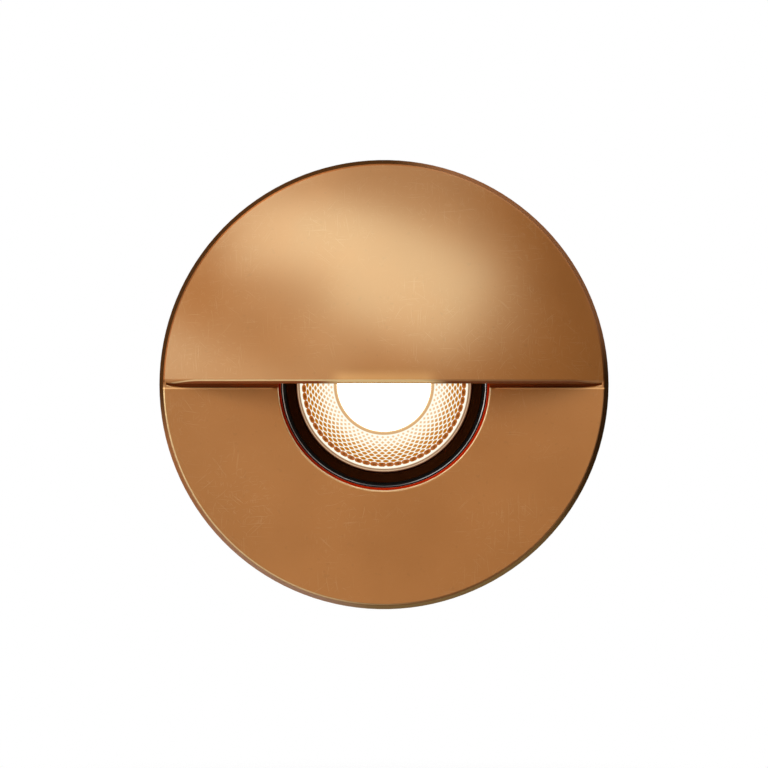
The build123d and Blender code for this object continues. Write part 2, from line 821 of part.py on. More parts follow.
# Cup round the optic, with a solid tail and radial fins.
with BuildPart() as lamp_heatsink:
    cup_r = lamp_r - bezel_w
    cup_floor_r = board_r + optic_gap
    tail_y = board_back_y + heatsink_wall
    turned(
        (cup_r, bezel_back_y),
        (lamp_r, bezel_back_y),
        (lamp_r, collar_y),
        (cup_floor_r + heatsink_wall, tail_y),
        (heatsink_neck_r, base_y),
        (0, base_y),
        (0, board_back_y),
        (cup_floor_r, board_back_y),
        (cup_floor_r, board_y),
        (cup_r, collar_y),
    )
    for fin in range(fin_count):
        with BuildSketch(Plane.XY.rotated((0, fin * 360 / fin_count, 0))):
            with BuildLine():
                Polyline(
                    (lamp_r - fin_root, collar_y),
                    (lamp_r, collar_y),
                    (fin_shoulder_r, collar_y + fin_shoulder_y),
                    (fin_tail_r, base_y),
                    (heatsink_neck_r - fin_root, base_y),
                    (cup_floor_r + heatsink_wall - fin_root, tail_y),
                    close=True,
                )
            make_face()
        extrude(amount=fin_t / 2, both=True)
finish(lamp_heatsink, "lamp_heatsink")

with BuildPart() as lamp_base:
    with BuildSketch(depth(base_y)):
        RectangleRounded(base_w, base_h, base_round)
    extrude(amount=-base_len)
    bored(facing_back(base_back_y), pin_r, pin_root, (0, -half_pitch), (0, half_pitch))
finish(lamp_base, "lamp_base")

with BuildPart() as lamp_pins:
    with BuildSketch(depth(base_back_y - pin_root)):
        with GridLocations(pin_pitch, 1, 2, 1):
            Circle(pin_r)
    extrude(amount=-(pin_root + pin_len))
    chamfer(lamp_pins.faces().sort_by(Axis.Y)[-2:].edges(), pin_tip)
finish(lamp_pins, "lamp_pins")
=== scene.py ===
"""Finish of the step light: a Blender add-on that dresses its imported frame.

It runs as a script. Lengths are in metres in the frame's own axes: the wall's surface is the
plane Y = 0, the lit face looks towards -Y and Z is up.
"""

import json
from collections import namedtuple
from math import atan2, cos, hypot, pi, radians, sin

import bmesh
import bpy
from bpy.props import FloatProperty, FloatVectorProperty, IntProperty, PointerProperty
from mathutils import Matrix, Vector


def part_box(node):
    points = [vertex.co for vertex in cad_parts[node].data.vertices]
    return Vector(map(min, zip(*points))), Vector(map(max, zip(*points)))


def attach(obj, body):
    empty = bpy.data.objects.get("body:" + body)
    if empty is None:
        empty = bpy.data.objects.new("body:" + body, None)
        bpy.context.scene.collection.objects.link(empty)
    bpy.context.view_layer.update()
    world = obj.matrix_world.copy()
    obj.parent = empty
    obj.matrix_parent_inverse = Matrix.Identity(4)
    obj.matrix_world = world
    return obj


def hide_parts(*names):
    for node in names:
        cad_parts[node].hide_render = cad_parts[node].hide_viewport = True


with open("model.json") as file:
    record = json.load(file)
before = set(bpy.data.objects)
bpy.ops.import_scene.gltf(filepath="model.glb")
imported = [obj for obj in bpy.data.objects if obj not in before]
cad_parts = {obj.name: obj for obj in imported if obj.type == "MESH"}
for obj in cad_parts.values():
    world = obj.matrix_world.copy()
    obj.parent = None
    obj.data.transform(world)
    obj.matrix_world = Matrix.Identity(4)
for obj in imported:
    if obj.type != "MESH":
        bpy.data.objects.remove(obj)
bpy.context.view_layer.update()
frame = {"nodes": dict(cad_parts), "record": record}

bl_info = {
    "name": "Step Light Finish",
    "version": (1, 0, 0),
    "blender": (4, 5, 0),
    "location": "3D View > Sidebar > Step Light",
    "description": "Fine shapes, finishes and studio of a recessed step light with an eyelid hood",
    "category": "Object",
}

MM = 0.001
TURN = 2 * pi

# Places on the solids that their boxes don't give.
PLATE_FRONT_Y = -5.0 * MM  # front of the flat plate
OPENING_R = 29.8 * MM  # radius of the opening in the plate
LIP_Z = 0.3 * MM  # height of the hood's lip
PLATE_EDGE_Z = -0.85 * MM  # height of the flat plate's edge, under the lip
WELL_GAP = 0.05 * MM  # between the lamp's diffuser and the well that it sits in

TURN_STEPS = 192  # steps of a spun piece in a full turn
CELL_STEPS = 6  # steps across one lenslet
HAIR = 0.001 * MM  # a length that is too small to matter


def front_of(node):
    """Depth of the front of a node."""
    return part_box(node)[0].y


def back_of(node):
    """Depth of the back of a node."""
    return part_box(node)[1].y


def radius_of(node):
    """Radius of a node that is round about the centre line."""
    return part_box(node)[1].x


# ---------------------------------------------------------------- sizes and colours


class LampSizes(bpy.types.PropertyGroup):
    """Sizes of the lamp's patterned front."""

    dots_round: IntProperty(
        name="Dots Round", description="Lenslets in one ring of the optic", default=63, min=12, max=120)
    dot_rows: IntProperty(
        name="Dot Rows", description="Rings of lenslets", default=10, min=2, max=20)
    rim_width: FloatProperty(
        name="Rim Width", description="Plain rim outside the beads", default=0.5 * MM, unit="LENGTH")
    bead_width: FloatProperty(
        name="Bead Width", description="Width of the outer ring of beads",
        default=1.2 * MM, unit="LENGTH")
    dot_height: FloatProperty(
        name="Dot Height", description="Height of a lenslet", default=0.14 * MM, unit="LENGTH")
    lip_round: FloatProperty(
        name="Lip Round", description="Rounded lip of the bright well", default=1.25 * MM, unit="LENGTH")
    gap_width: FloatProperty(
        name="Gap Width", description="Gap between the lamp's bezel and its optic",
        default=0.22 * MM, unit="LENGTH")


class Finishes(bpy.types.PropertyGroup):
    """Colours of the light's finishes."""

    bronze: FloatVectorProperty(
        name="Bronze", description="Lacquered bronze of the faceplate", subtype="COLOR",
        default=(0.41, 0.136, 0.025), min=0, max=1)
    # Used for the light hairlines, and as painted highlights along the lip, round the opening, on the low
    # left of the rim and along the plate's edge.
    bronze_scratch_and_highlight: FloatVectorProperty(
        name="Bronze Edge", description="Edges of the bronze that are rubbed bright", subtype="COLOR",
        default=(0.82, 0.60, 0.30), min=0, max=1)
    # Painted shade: a darker copy of the bronze under the lip of the hood and in the slot, where shade
    # falls.
    bronze_painted_shade: FloatVectorProperty(
        name="Bronze Dark", description="Bronze under the lip of the hood", subtype="COLOR",
        default=(0.33, 0.075, 0.018), min=0, max=1)
    # Painted shade: a darker copy of the bronze on the plate's round side, which is also bare metal.
    bronze_side_painted_shade: FloatVectorProperty(
        name="Bronze Side", description="Bare bronze round the edge of the faceplate", subtype="COLOR",
        default=(0.23, 0.074, 0.020), min=0, max=1)
    bronze_gloss: FloatVectorProperty(
        name="Bronze Gloss", description="Tint of the bronze's highlights", subtype="COLOR",
        default=(1.0, 1.0, 0.63), min=0, max=1)
    bronze_roughness: FloatProperty(
        name="Bronze Roughness", description="Roughness of the bronze", default=0.3, min=0, max=1)
    glow: FloatVectorProperty(
        name="Glow", description="Light of the lamp", subtype="COLOR",
        default=(1.0, 0.93, 0.82), min=0, max=1)
    glow_strength: FloatProperty(
        name="Glow Strength", description="Brightness of the lit middle", default=5.0, min=0)
    # Painted light: the optic's dots are part of the glow the optic gives off itself.
    amber: FloatVectorProperty(
        name="Amber", description="Dark sides of the lenslets", subtype="COLOR",
        default=(0.48, 0.155, 0.0), min=0, max=1)


class StageSettings(bpy.types.PropertyGroup):
    """Camera, floor and lights."""

    camera_distance: FloatProperty(
        name="Camera Distance", description="From the wall's plane to the camera",
        default=0.9, unit="LENGTH")
    frame_width: FloatProperty(
        name="Frame Width", description="Width in view at the wall's plane",
        default=217.2 * MM, unit="LENGTH")
    camera_rise: FloatProperty(
        name="Camera Rise", description="Camera above the centre line",
        default=0.17 * MM, unit="LENGTH")
    floor_drop: FloatProperty(
        name="Floor Drop", description="Floor below the centre line",
        default=160 * MM, unit="LENGTH")
    lamp_distance: FloatProperty(
        name="Lamp Distance", description="From the step light to each soft lamp",
        default=2.0, unit="LENGTH")
    card_distance: FloatProperty(
        name="Card Distance", description="From the step light to each dark card",
        default=2.6, unit="LENGTH")
    lamp_level: FloatProperty(
        name="Lamp Level", description="Brightness of all the lamps together", default=1.0, min=0)
    world_level: FloatProperty(
        name="World Level", description="Soft light from all round", default=0.25, min=0)


# ---------------------------------------------------------------- mesh helpers

# Finish of each material slot, filled by the operator for finishes.
FINISHES = {}


def turned(outline, steps=TURN_STEPS):
    """A closed outline of (radius, depth) points spun about the centre line."""
    bm = bmesh.new()
    points = [bm.verts.new((radius, depth, 0)) for radius, depth in outline]
    edges = [bm.edges.new(pair) for pair in zip(points, points[1:] + points[:1])]
    bmesh.ops.spin(
        bm, geom=points + edges, axis=(0, 1, 0), cent=(0, 0, 0), dvec=(0, 0, 0),
        angle=TURN, steps=steps, use_merge=True)
    bmesh.ops.remove_doubles(bm, verts=bm.verts, dist=HAIR)
    bmesh.ops.recalc_face_normals(bm, faces=bm.faces)
    return bm


def ring_edges(bm, radius, depth):
    """Edges that run round the centre line at a radius and a depth."""
    reach = 0.01 * MM

    def near(vert):
        """Whether a vertex lies at that radius and depth."""
        return abs(hypot(vert.co.x, vert.co.z) - radius) < reach and abs(vert.co.y - depth) < reach

    return [edge for edge in bm.edges if all(near(vert) for vert in edge.verts)]


def soften(bm, radius, depth, width, segments):
    """Bevel the edge that runs round at a radius and a depth."""
    bmesh.ops.bevel(
        bm, geom=ring_edges(bm, radius, depth), offset=width, offset_type="OFFSET",
        segments=segments, profile=0.5, affect="EDGES", clamp_overlap=True, material=-1)


def piece(name, bm, body, slot, sharp_angle=0.7):
    """Make an object of a bmesh that rides on a body, with the finish of its slot.

    Edges that turn by more than the sharp angle, in radians, stay sharp.
    """
    mesh = bpy.data.meshes.new(name)
    bm.to_mesh(mesh)
    bm.free()
    mesh.shade_smooth()
    mesh.set_sharp_from_angle(angle=sharp_angle)
    obj = bpy.data.objects.new(name, mesh)
    bpy.context.scene.collection.objects.link(obj)
    mesh.materials.append(FINISHES[slot])
    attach(obj, body)
    return obj


# ---------------------------------------------------------------- shader helpers


def feed(tree, socket, value):
    """Join a socket to another, or set its value."""
    if isinstance(value, bpy.types.NodeSocket):
        tree.links.new(value, socket)
    else:
        socket.default_value = value


def add(tree, kind, inputs=None, **settings):
    """Add a node with its settings, and feed its inputs by name or index."""
    node = tree.nodes.new(kind)
    for name, value in settings.items():
        setattr(node, name, value)
    for key, value in (inputs or {}).items():
        feed(tree, node.inputs[key], value)
    return node


def calc(tree, operation, *values, clamp=False):
    """Result of a Math node."""
    node = add(tree, "ShaderNodeMath", dict(enumerate(values)), operation=operation, use_clamp=clamp)
    return node.outputs[0]


def chain(tree, operation, values):
    """Result of one Math operation on all the values in turn."""
    total = values[0]
    for value in values[1:]:
        total = calc(tree, operation, total, value)
    return total


def product(tree, *values):
    """Product of values or masks."""
    return chain(tree, "MULTIPLY", values)


def highest(tree, *values):
    """Highest of values or masks."""
    return chain(tree, "MAXIMUM", values)


def length_of(tree, first, second):
    """Length of the hypotenuse of two values."""
    squares = calc(tree, "ADD", calc(tree, "POWER", first, 2.0), calc(tree, "POWER", second, 2.0))
    return calc(tree, "SQRT", squares)


def remap(tree, value, low, high, out_low=0.0, out_high=1.0):
    """Smooth step of a value from one range to another."""
    node = add(
        tree, "ShaderNodeMapRange",
        {"Value": value, "From Min": low, "From Max": high, "To Min": out_low, "To Max": out_high},
        interpolation_type="SMOOTHSTEP")
    return node.outputs["Result"]


def falling(tree, value, low, high):
    """Smooth step down, from one at the low value to zero at the high one."""
    return remap(tree, value, low, high, 1.0, 0.0)


def band(tree, value, middle, half, soft):
    """Mask of a value within a half width of a middle, with soft sides."""
    away = calc(tree, "ABSOLUTE", calc(tree, "SUBTRACT", value, middle))
    return falling(tree, away, half - soft, half + soft)


def noise(tree, place, scale, detail, **inputs):
    """Outputs of a noise texture at a place."""
    return add(
        tree, "ShaderNodeTexNoise", {"Vector": place, "Scale": scale, "Detail": detail, **inputs}).outputs


def blend(tree, factor, first, second):
    """Mix of two colours."""
    node = add(tree, "ShaderNodeMix", {0: factor, 6: first, 7: second}, data_type="RGBA")
    return node.outputs[2]


def colour(red, green, blue):
    """An opaque colour."""
    return (red, green, blue, 1.0)


def shade(tone, factor):
    """A colour made lighter or darker."""
    return (*(min(1.0, channel * factor) for channel in tone[:3]), 1.0)


# ---------------------------------------------------------------- shared effects

FLOAT, VECTOR = "NodeSocketFloat", "NodeSocketVector"


def new_group(name, inputs, outputs):
    """An empty shader node group. Inputs are (name, socket type, default)."""
    tree = bpy.data.node_groups.new(name, "ShaderNodeTree")
    for label, kind, default in inputs:
        socket = tree.interface.new_socket(label, in_out="INPUT", socket_type=kind)
        if default is not None:
            socket.default_value = default
    for label, kind in outputs:
        tree.interface.new_socket(label, in_out="OUTPUT", socket_type=kind)
    entry = tree.nodes.new("NodeGroupInput")
    leave = tree.nodes.new("NodeGroupOutput")
    return tree, entry.outputs, leave.inputs


def hairlines_group():
    """Short fine hairlines, slightly bent, strewn in all directions."""
    tree, given, out = new_group(
        "Hairlines",
        [("Vector", VECTOR, None), ("Length", FLOAT, 9 * MM), ("Width", FLOAT, 0.2 * MM),
         ("Share", FLOAT, 0.01)],
        [("Mask", FLOAT)])
    waver = noise(tree, given["Vector"], 70.0, 1.0)["Color"]
    centred = add(tree, "ShaderNodeVectorMath", {0: waver, 1: (0.5, 0.5, 0.5)}, operation="SUBTRACT")
    bend = add(tree, "ShaderNodeVectorMath", {0: centred.outputs[0], "Scale": 5 * MM}, operation="SCALE")
    bent = add(tree, "ShaderNodeVectorMath", {0: given["Vector"], 1: bend.outputs[0]}, operation="ADD")
    limit = calc(tree, "SUBTRACT", 1.0, given["Share"])
    directions, uneven_by = 6, 0.3
    strewn = []
    for i in range(directions):
        angle = i * pi / directions + uneven_by * (i % 3)
        spun = add(
            tree, "ShaderNodeVectorRotate", {"Vector": bent.outputs[0], "Angle": angle},
            rotation_type="Y_AXIS")
        along, _, across = add(tree, "ShaderNodeSeparateXYZ", {0: spun.outputs[0]}).outputs
        cell = add(tree, "ShaderNodeCombineXYZ", {
            0: calc(tree, "DIVIDE", along, given["Length"]),
            1: calc(tree, "DIVIDE", across, given["Width"])})
        dashes = add(
            tree, "ShaderNodeTexVoronoi", {"Vector": cell.outputs[0], "Scale": 1.0},
            voronoi_dimensions="2D", feature="F1").outputs
        line = falling(tree, dashes["Distance"], 0.15, 0.34)
        chance = add(tree, "ShaderNodeSeparateXYZ", {0: dashes["Color"]}).outputs["X"]
        strewn.append(product(tree, line, calc(tree, "GREATER_THAN", chance, limit)))
    patches = remap(tree, noise(tree, given["Vector"], 45.0, 2.0)[0], 0.38, 0.6, out_low=0.12)
    feed(tree, out["Mask"], product(tree, highest(tree, *strewn), patches))
    return tree


def grain_group():
    """Fine even grain with slow clouds, as a height and a cloud mask."""
    tree, given, out = new_group(
        "Grain", [("Vector", VECTOR, None), ("Scale", FLOAT, 1500.0), ("Cloud Scale", FLOAT, 25.0)],
        [("Height", FLOAT), ("Clouds", FLOAT)])
    clouds = noise(tree, given["Vector"], given["Cloud Scale"], 4.0, Roughness=0.6)[0]
    feed(tree, out["Height"], noise(tree, given["Vector"], given["Scale"], 3.0)[0])
    feed(tree, out["Clouds"], remap(tree, clouds, 0.3, 0.7))
    return tree


def wear_group():
    """Mask of the edges, found by rounding the normal there."""
    tree, given, out = new_group(
        "Edge Wear", [("Vector", VECTOR, None), ("Radius", FLOAT, 0.4 * MM), ("Amount", FLOAT, 1.0)],
        [("Mask", FLOAT)])
    rounded = add(tree, "ShaderNodeBevel", {"Radius": given["Radius"]}, samples=4)
    straight = add(tree, "ShaderNodeNewGeometry")
    alike = add(
        tree, "ShaderNodeVectorMath", {0: rounded.outputs[0], 1: straight.outputs["Normal"]},
        operation="DOT_PRODUCT")
    edge = remap(tree, alike.outputs["Value"], 0.99, 0.85)
    rubbed = remap(tree, noise(tree, given["Vector"], 180.0, 3.0)[0], 0.35, 0.6)
    feed(tree, out["Mask"], product(tree, edge, rubbed, given["Amount"]))
    return tree


def marks_group():
    """Fine marks of a lathe tool round the centre line, as a height."""
    tree, given, out = new_group(
        "Turning Marks", [("Vector", VECTOR, None), ("Pitch", FLOAT, 0.25 * MM)], [("Height", FLOAT)])
    right, depth, height = add(tree, "ShaderNodeSeparateXYZ", {0: given["Vector"]}).outputs
    run = calc(tree, "ADD", length_of(tree, right, height), depth)
    turns = calc(tree, "DIVIDE", run, given["Pitch"])
    uneven = product(tree, noise(tree, given["Vector"], 60.0, 2.0)[0], 0.6)
    wave = calc(tree, "SINE", product(tree, calc(tree, "ADD", turns, uneven), TURN))
    feed(tree, out["Height"], calc(tree, "MULTIPLY_ADD", wave, 0.5, 0.5))
    return tree


GROUPS = {}
GROUP_MAKERS = {
    "Hairlines": hairlines_group,
    "Grain": grain_group,
    "Edge Wear": wear_group,
    "Turning Marks": marks_group,
}


class Surface:
    """A material being made: its node tree, its shader and its object coordinates."""

    def __init__(self, name, **sockets):
        self.material = bpy.data.materials.new(name)
        self.material.use_nodes = True
        self.tree = self.material.node_tree
        self.shader = self.tree.nodes["Principled BSDF"]
        self.place = add(self.tree, "ShaderNodeTexCoord").outputs["Object"]
        self.set(**sockets)

    def set(self, **sockets):
        """Feed the shader's sockets. A name's underscores stand for spaces."""
        for name, value in sockets.items():
            feed(self.tree, self.shader.inputs[name.replace("_", " ")], value)

    def effect(self, name, **inputs):
        """Place a shared effect, which is made the first time, and return its outputs."""
        if name not in GROUPS:
            GROUPS[name] = GROUP_MAKERS[name]()
        node = self.tree.nodes.new("ShaderNodeGroup")
        node.node_tree = GROUPS[name]
        feed(self.tree, node.inputs["Vector"], self.place)
        for key, value in inputs.items():
            feed(self.tree, node.inputs[key.replace("_", " ")], value)
        return node.outputs

    def clouded(self, clouds, tone, spread=0.1):
        """A colour that drifts from a little darker to a little lighter."""
        return blend(self.tree, clouds, shade(tone, 1 - spread), shade(tone, 1 + spread))

    def bump(self, height, depth, strength):
        """Feed the shader's normal from a height."""
        node = add(
            self.tree, "ShaderNodeBump", {"Height": height, "Distance": depth, "Strength": strength})
        self.set(Normal=node.outputs[0])

    def axes(self):
        """Places to the right, into the wall and up."""
        right, depth, height = add(self.tree, "ShaderNodeSeparateXYZ", {0: self.place}).outputs
        return right, depth, height

    def reach(self):
        """Distance from the centre line."""
        right, _, height = self.axes()
        return length_of(self.tree, right, height)


# ---------------------------------------------------------------- finishes


def bronze_zones(s):
    """Masks of the bronze's painted highlights on its edges, of the painted light and shade at its lip,
    and of the painted shade in its slot and on its side.
    """
    tree = s.tree
    right, depth, height = s.axes()
    reach = length_of(tree, right, height)
    outward = calc(tree, "ABSOLUTE", right)
    slanting = calc(tree, "ABSOLUTE", calc(tree, "ADD", right, height))
    plate_r = radius_of("faceplate")
    # Towards both of its ends the lip's painted highlight line runs down to the lip's edge.
    lip_height = calc(tree, "ADD", height, remap(tree, outward, 52 * MM, 62 * MM, out_high=0.9 * MM))
    on_hood = falling(tree, depth, PLATE_FRONT_Y - 1.2 * MM, PLATE_FRONT_Y - 0.4 * MM)
    on_plate = product(
        tree, falling(tree, depth, PLATE_FRONT_Y + 0.45 * MM, PLATE_FRONT_Y + 0.6 * MM),
        remap(tree, depth, PLATE_FRONT_Y - 0.4 * MM, PLATE_FRONT_Y - 0.2 * MM))
    low_left = product(
        tree, falling(tree, height, -3 * MM, 1 * MM),
        remap(tree, right, -25 * MM, 20 * MM, out_low=1.0, out_high=0.12))
    return {
        # Painted highlights: bright lines along the lip, round the opening, on the low left of the rim
        # and along the plate's edge.
        "lip": product(
            tree, band(tree, lip_height, LIP_Z + 0.92 * MM, half=0.17 * MM, soft=0.08 * MM), on_hood),
        "opening": product(
            tree, falling(tree, reach, OPENING_R + 0.12 * MM, OPENING_R + 0.24 * MM), on_plate),
        "rim": product(
            tree, band(tree, reach, plate_r - 1.6 * MM, half=0.2 * MM, soft=0.08 * MM),
            on_plate, low_left),
        "plate_edge_highlight": product(
            tree, band(tree, height, PLATE_EDGE_Z - 0.2 * MM, half=0.2 * MM, soft=0.1 * MM),
            on_plate, remap(tree, reach, OPENING_R + 1 * MM, OPENING_R + 2 * MM)),
        # Painted light and shade at the lip: painted shade under it with painted lamp light over the
        # lamp, painted shade at its right end, and the lamp's painted glow above it.
        "under_lip": product(
            tree, falling(tree, lip_height, LIP_Z + 0.62 * MM, LIP_Z + 0.78 * MM), on_hood),
        "over_lamp": falling(tree, outward, 11 * MM, 19 * MM),
        "shaded_end": remap(tree, right, 10 * MM, 18 * MM),
        "lip_glow": product(
            tree, falling(tree, height, 1.6 * MM, 4.8 * MM), on_hood,
            falling(tree, outward, 11 * MM, 16 * MM)),
        # Painted shade in the slot and on the round side, which are also bare metal, and painted light on
        # the side's corners.
        "slot": product(
            tree, remap(tree, height, PLATE_EDGE_Z - 0.1 * MM, PLATE_EDGE_Z + 0.15 * MM),
            remap(tree, depth, PLATE_FRONT_Y + 0.3 * MM, PLATE_FRONT_Y + 0.6 * MM),
            falling(tree, depth, -0.4 * MM, 0.0),
            falling(tree, reach, plate_r - 1.9 * MM, plate_r - 1.5 * MM)),
        "side": remap(tree, reach, plate_r - 1.92 * MM, plate_r - 1.70 * MM),
        "lit_side": remap(tree, slanting, plate_r, 1.25 * plate_r),
    }


def bronze_skin(s, colours):
    """Colour, roughness and height of the plain bronze, with its clouds, hairlines and specks."""
    tree = s.tree
    base = tuple(colours.bronze)
    grain = s.effect("Grain", Scale=2600.0, Cloud_Scale=26.0)
    long_lines = s.effect("Hairlines", Length=9 * MM, Width=0.12 * MM, Share=0.010)["Mask"]
    short_lines = s.effect("Hairlines", Length=3 * MM, Width=0.1 * MM, Share=0.02)["Mask"]
    scratch = highest(tree, product(tree, long_lines, 0.26), product(tree, short_lines, 0.20))
    speck = remap(tree, noise(tree, s.place, 700.0, 2.0)[0], 0.66, 0.74, out_high=0.2)
    tone = s.clouded(grain["Clouds"], base, 0.05)
    tone = blend(tree, scratch, tone, colour(*colours.bronze_scratch_and_highlight))
    tone = blend(tree, speck, tone, shade(base, 0.6))
    least = colours.bronze_roughness
    cloudy = remap(tree, grain["Clouds"], 0.0, 1.0, least, least + 0.03)
    roughness = calc(tree, "ADD", cloudy, product(tree, scratch, 0.2))
    height = calc(tree, "SUBTRACT", product(tree, grain["Height"], 0.3), scratch)
    return tone, roughness, height


def bronze_painted_light_and_shade(tree, zones, tone, colours):
    """Colour of the bronze with painted light and shade laid over it: highlights on its edges and lip,
    lamp light and shade under its lip, and shade in its slot and on its side.
    """
    edge, dark = colour(*colours.bronze_scratch_and_highlight), colour(*colours.bronze_painted_shade)
    # Painted shade at the lip's right end, painted lamp light under the lip and painted light on the
    # side's lit corners.
    lip_in_shade = colour(0.2, 0.06, 0.014)
    painted_lamp_light_on_lip = colour(1.0, 0.69, 0.32)
    lit_side = colour(0.45, 0.145, 0.034)
    lip = blend(tree, zones["shaded_end"], edge, lip_in_shade)
    shaded = blend(tree, zones["shaded_end"], dark, shade(dark, 0.55))
    # Each layer is painted light or shade: the lamp's glow above the lip, shade on the side with lit
    # corners, highlights on the plate's edge, the lip, the opening and the rim, shade and lamp light
    # under the lip, and shade in the slot.
    layers = (
        ("lip_glow", 1.0, colour(0.61, 0.265, 0.072)),
        ("side", 1.0, blend(tree, zones["lit_side"], colour(*colours.bronze_side_painted_shade), lit_side)),
        ("plate_edge_highlight", 1.0, colour(0.84, 0.42, 0.15)),
        ("lip", 0.8, lip),
        ("opening", 1.0, edge),
        ("rim", 0.75, edge),
        ("under_lip", 1.0, blend(tree, zones["over_lamp"], shaded, painted_lamp_light_on_lip)),
        ("slot", 1.0, shade(dark, 0.9)),
    )
    for zone, share, layer in layers:
        tone = blend(tree, product(tree, zones[zone], share), tone, layer)
    return tone


def bronze_finish(colours):
    """Lacquered bronze that is bare metal in its slot, under its lip and round its side, with painted
    light and shade laid on its colour.
    """
    s = Surface(
        "bronze", IOR=1.5, Specular_IOR_Level=1.0, Specular_Tint=colour(*colours.bronze_gloss))
    tree = s.tree
    zones = bronze_zones(s)
    tone, roughness, height = bronze_skin(s, colours)
    bare_side = product(tree, zones["side"], calc(tree, "SUBTRACT", 1.0, zones["lit_side"]))
    s.set(
        Base_Color=bronze_painted_light_and_shade(tree, zones, tone, colours),
        Metallic=highest(tree, zones["slot"], product(tree, zones["under_lip"], 0.7), bare_side),
        Roughness=calc(tree, "ADD", roughness, product(tree, zones["side"], 0.1), clamp=True))
    s.bump(height, depth=0.006 * MM, strength=0.5)
    return s.material


def cast_metal(name, tone, roughness, metallic=1.0, marks=0.0):
    """Metal with grain, worn edges and a few hairlines, and turning marks where they have a pitch."""
    s = Surface(name, Metallic=metallic)
    tree = s.tree
    bare = shade(tone, 1.8)
    grain = s.effect("Grain", Scale=2200.0, Cloud_Scale=40.0)
    lines = s.effect("Hairlines", Length=7 * MM, Width=0.16 * MM, Share=0.02)["Mask"]
    worn = s.effect("Edge Wear", Radius=0.3 * MM, Amount=0.6)["Mask"]
    lined = blend(tree, product(tree, lines, 0.3), s.clouded(grain["Clouds"], tone), bare)
    s.set(
        Base_Color=blend(tree, worn, lined, bare),
        Roughness=remap(tree, grain["Clouds"], 0.0, 1.0, roughness - 0.04, roughness + 0.04))
    height = grain["Height"]
    if marks:
        height = calc(tree, "ADD", height, s.effect("Turning Marks", Pitch=marks)["Height"])
    s.bump(height, depth=0.01 * MM, strength=0.5)
    return s.material


def moulded(name, tone, roughness, grain_depth=0.02 * MM, grain_scale=1200.0, sheen=0.0, level=0.5):
    """Moulded plastic, rubber, ceramic or foam with a fine skin."""
    s = Surface(name, Sheen_Weight=sheen, Sheen_Roughness=0.5, Specular_IOR_Level=level)
    grain = s.effect("Grain", Scale=grain_scale, Cloud_Scale=60.0)
    worn = s.effect("Edge Wear", Radius=0.25 * MM, Amount=0.35)["Mask"]
    s.set(
        Base_Color=blend(s.tree, worn, s.clouded(grain["Clouds"], tone), shade(tone, 1.5)),
        Roughness=remap(s.tree, grain["Height"], 0.2, 0.8, roughness - 0.06, roughness + 0.06))
    s.bump(grain["Height"], grain_depth, strength=0.7)
    return s.material


def lens_ring_finish():
    """Black anodised ring with a painted highlight line near its front edge."""
    s = Surface("black_anodised", Specular_IOR_Level=0.02)
    tree = s.tree
    grain = s.effect("Grain", Scale=2200.0, Cloud_Scale=40.0)
    right, depth, height = s.axes()
    reach = length_of(tree, right, height)
    line_r = OPENING_R - 0.93 * MM
    line_back_y = front_of("lens_ring") + 1.28 * MM
    painted_glint_line = product(
        tree, band(tree, reach, line_r, half=0.10 * MM, soft=0.02 * MM),
        calc(tree, "LESS_THAN", depth, line_back_y))
    # Painted highlight: the line is dim at the bottom, middling up its lower sides, and bright from a
    # little below the middle upwards, at its left and right ends.
    low, middle, ends = colour(0.13, 0.13, 0.14), colour(0.36, 0.365, 0.38), colour(0.95, 0.95, 0.97)
    line = blend(tree, remap(tree, height, -line_r, -0.92 * line_r), low, middle)
    line = blend(tree, remap(tree, height, -0.4 * line_r, -0.25 * line_r), line, ends)
    black = blend(tree, grain["Clouds"], colour(0.0006, 0.0006, 0.0006), colour(0.001, 0.001, 0.0012))
    s.set(
        Base_Color=blend(tree, painted_glint_line, black, line),
        Roughness=remap(tree, grain["Clouds"], 0.0, 1.0, 0.4, 0.5))
    s.bump(grain["Height"], depth=0.006 * MM, strength=0.5)
    return s.material


def baffle_finish():
    """Dull dark bronze that swallows stray light."""
    s = Surface("dark_bronze", Roughness=0.9, Specular_IOR_Level=0.0)
    grain = s.effect("Grain", Scale=1800.0, Cloud_Scale=50.0)
    darker, lighter = colour(0.016, 0.0041, 0.0009), colour(0.020, 0.0052, 0.0012)
    s.set(Base_Color=blend(s.tree, grain["Clouds"], darker, lighter))
    s.bump(grain["Height"], depth=0.002 * MM, strength=0.3)
    return s.material


def glass_finish():
    """Clear coated glass that lets nearly all light straight through, and lamps shine through it."""
    s = Surface(
        "lens_glass", Base_Color=colour(0.985, 0.99, 0.985), Roughness=0.0, IOR=1.15,
        Transmission_Weight=1.0, Specular_Tint=colour(0.05, 0.05, 0.05))
    straight_share = 0.9
    path = add(s.tree, "ShaderNodeLightPath").outputs
    clear = add(s.tree, "ShaderNodeBsdfTransparent", {"Color": colour(0.97, 0.98, 0.975)})
    straight = highest(s.tree, path["Is Shadow Ray"], straight_share)
    mixed = add(
        s.tree, "ShaderNodeMixShader", {0: straight, 1: s.shader.outputs[0], 2: clear.outputs[0]})
    feed(s.tree, s.tree.nodes["Material Output"].inputs["Surface"], mixed.outputs[0])
    return s.material


def glow_finish(colours):
    """The lit middle of the lamp, warmer at its edge."""
    s = Surface("lamp_glow", Base_Color=colour(0.9, 0.88, 0.84), Roughness=0.5)
    radius = radius_of("lamp_diffuser")
    edge = remap(s.tree, s.reach(), 0.97 * radius, radius)
    warm = colour(1.0, 0.72, 0.42)
    s.set(
        Emission_Color=blend(s.tree, edge, colour(*colours.glow), warm),
        Emission_Strength=colours.glow_strength)
    return s.material


OpticPlan = namedtuple("OpticPlan", "edge_r edge_y bead_r field_r lip_r lip_y pitch")


